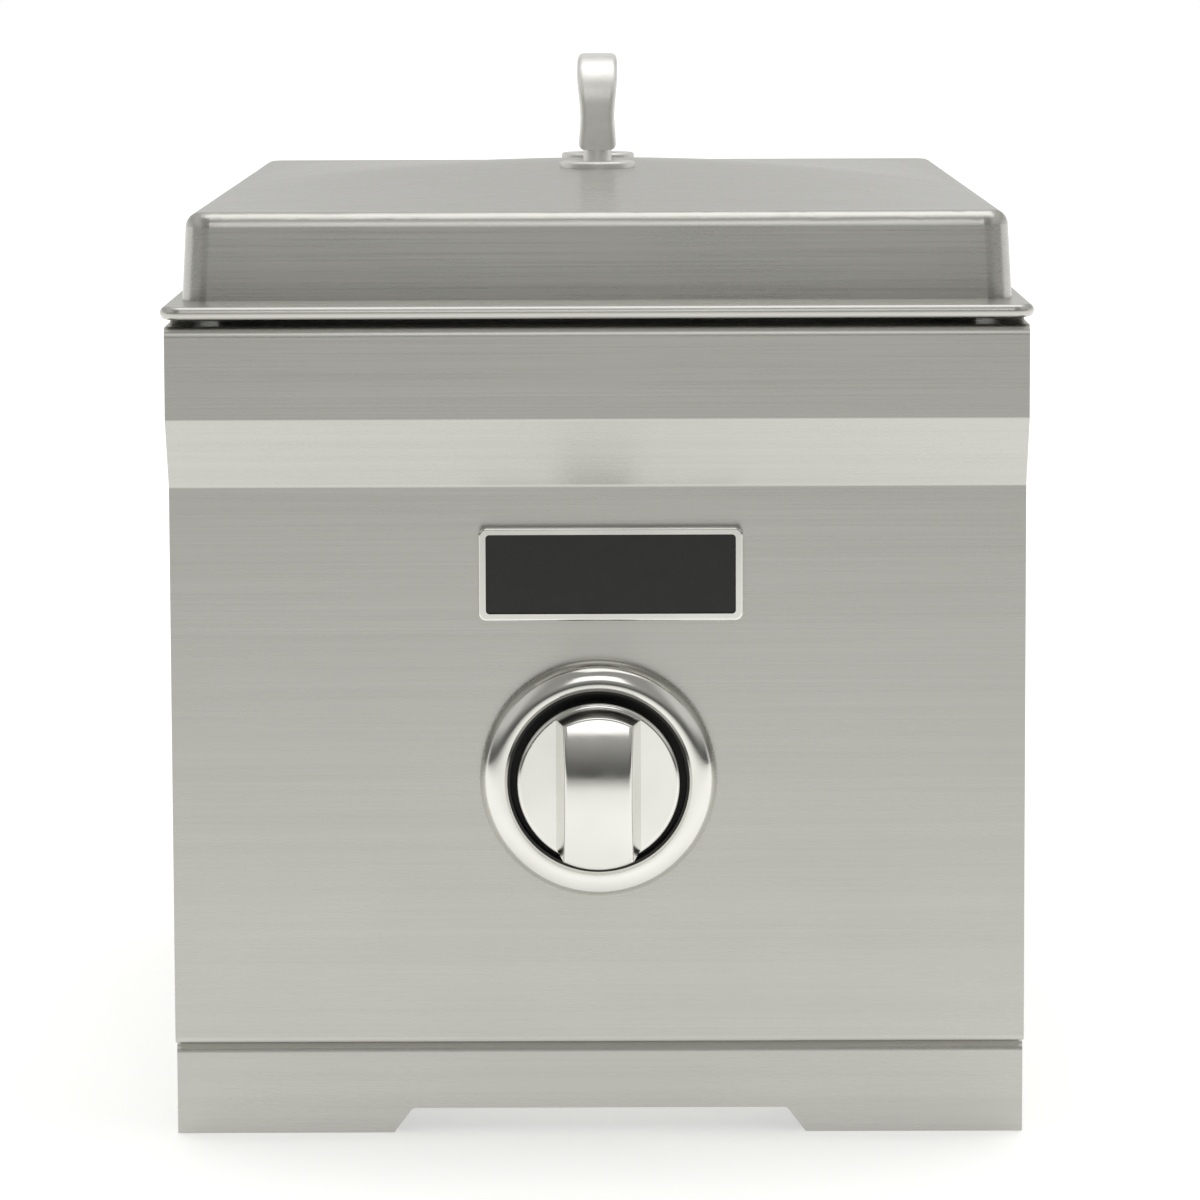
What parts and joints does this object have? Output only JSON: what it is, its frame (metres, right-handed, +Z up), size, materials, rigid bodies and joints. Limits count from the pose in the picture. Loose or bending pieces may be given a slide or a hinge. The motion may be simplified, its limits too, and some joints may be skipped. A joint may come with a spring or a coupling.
{
  "type": "side burner",
  "caption": "Built-in gas side burner in brushed steel: lift-off crowned lid with a bow handle over a rod grate and a round burner, stepped front panel with a push-and-turn knob.",
  "frame": {"origin": "middle of the footprint, on the surface the burner stands on", "axes": "+X to the right seen from the front, +Y from the front panel to the rear, +Z up"},
  "size_m": [0.336, 0.574, 0.4195],
  "materials": {
    "brushed_stainless": "brushed across the width",
    "casing_steel": "plain mill finish",
    "polished_chrome": "polished",
    "satin_steel": "satin",
    "stainless_rod": "drawn",
    "tube_steel": "drawn",
    "cast_aluminium": "as cast",
    "black_enamel": "fired enamel",
    "brass": "turned",
    "black_gloss": "smooth",
    "black_matt": "fine grain",
    "lead_rubber": "smooth",
    "white_ceramic": "glazed",
    "zinc_screws": "zinc plated"
  },
  "bodies": {
    "chassis": {"top_frame": "brushed_stainless", "control_panel": "brushed_stainless", "front_wall": "brushed_stainless", "burner_pan": "brushed_stainless", "left_side_panel": "casing_steel", "right_side_panel": "casing_steel", "rear_panel": "casing_steel", "bottom_tray": "casing_steel", "heat_shield": "casing_steel", "burner_bracket": "casing_steel", "electrode_bracket": "casing_steel", "knob_bezel": "polished_chrome", "badge_frame": "polished_chrome", "electrode": "stainless_rod", "return_spring": "stainless_rod", "mixing_tube": "tube_steel", "supply_pipe": "tube_steel", "burner_base": "cast_aluminium", "burner_head": "cast_aluminium", "valve_bonnet": "brass", "valve_body": "brass", "gas_orifice": "brass", "pipe_nut": "brass", "inlet_fitting": "brass", "inlet_locknut": "brass", "badge_plate": "black_gloss", "bezel_ring": "black_matt", "piezo_igniter": "black_matt", "ignition_lead": "lead_rubber", "insulator": "white_ceramic", "panel_screws": "zinc_screws", "rear_screws": "zinc_screws", "tray_screws": "zinc_screws", "shield_screws": "zinc_screws", "valve_screws": "zinc_screws", "burner_screws": "zinc_screws", "badge_push_nuts": "zinc_screws"},
    "lid": {"lid_shell": "brushed_stainless", "lid_handle": "satin_steel", "handle_collars": "satin_steel", "handle_screws": "zinc_screws"},
    "grate": {"cooking_grate": "stainless_rod"},
    "cap": {"burner_cap": "black_enamel"},
    "stem_push": {"stem_collar": "brass"},
    "knob": {"control_knob": "polished_chrome", "valve_stem": "stainless_rod"},
    "shutter": {"air_shutter": "tube_steel", "shutter_screw": "zinc_screws"}
  },
  "joints": [
    {"name": "lid_lift", "type": "slide", "parent": "chassis", "child": "lid", "axis": [0, 0, 1], "range_m": [0, 0.3]},
    {"name": "grate_lift", "type": "slide", "parent": "chassis", "child": "grate", "axis": [0, 0, 1], "range_m": [0, 0.02]},
    {"name": "cap_lift", "type": "slide", "parent": "chassis", "child": "cap", "axis": [0, 0, 1], "range_m": [0, 0.012]},
    {"name": "knob_push", "type": "slide", "parent": "chassis", "child": "stem_push", "axis": [0, 1, 0], "range_m": [0, 0.004], "stiffness_N_per_m": 800, "springref_m": -0.006, "deforming": ["return_spring"]},
    {"name": "knob_turn", "type": "hinge", "parent": "stem_push", "child": "knob", "pos_m": [0, -0.241, 0.1449], "axis": [0, -1, 0], "range_deg": [0, 180]},
    {"name": "shutter_turn", "type": "hinge", "parent": "chassis", "child": "shutter", "pos_m": [0, -0.155, 0.1449], "axis": [0, 1, 0], "range_deg": [-35, 35]}
  ]
}
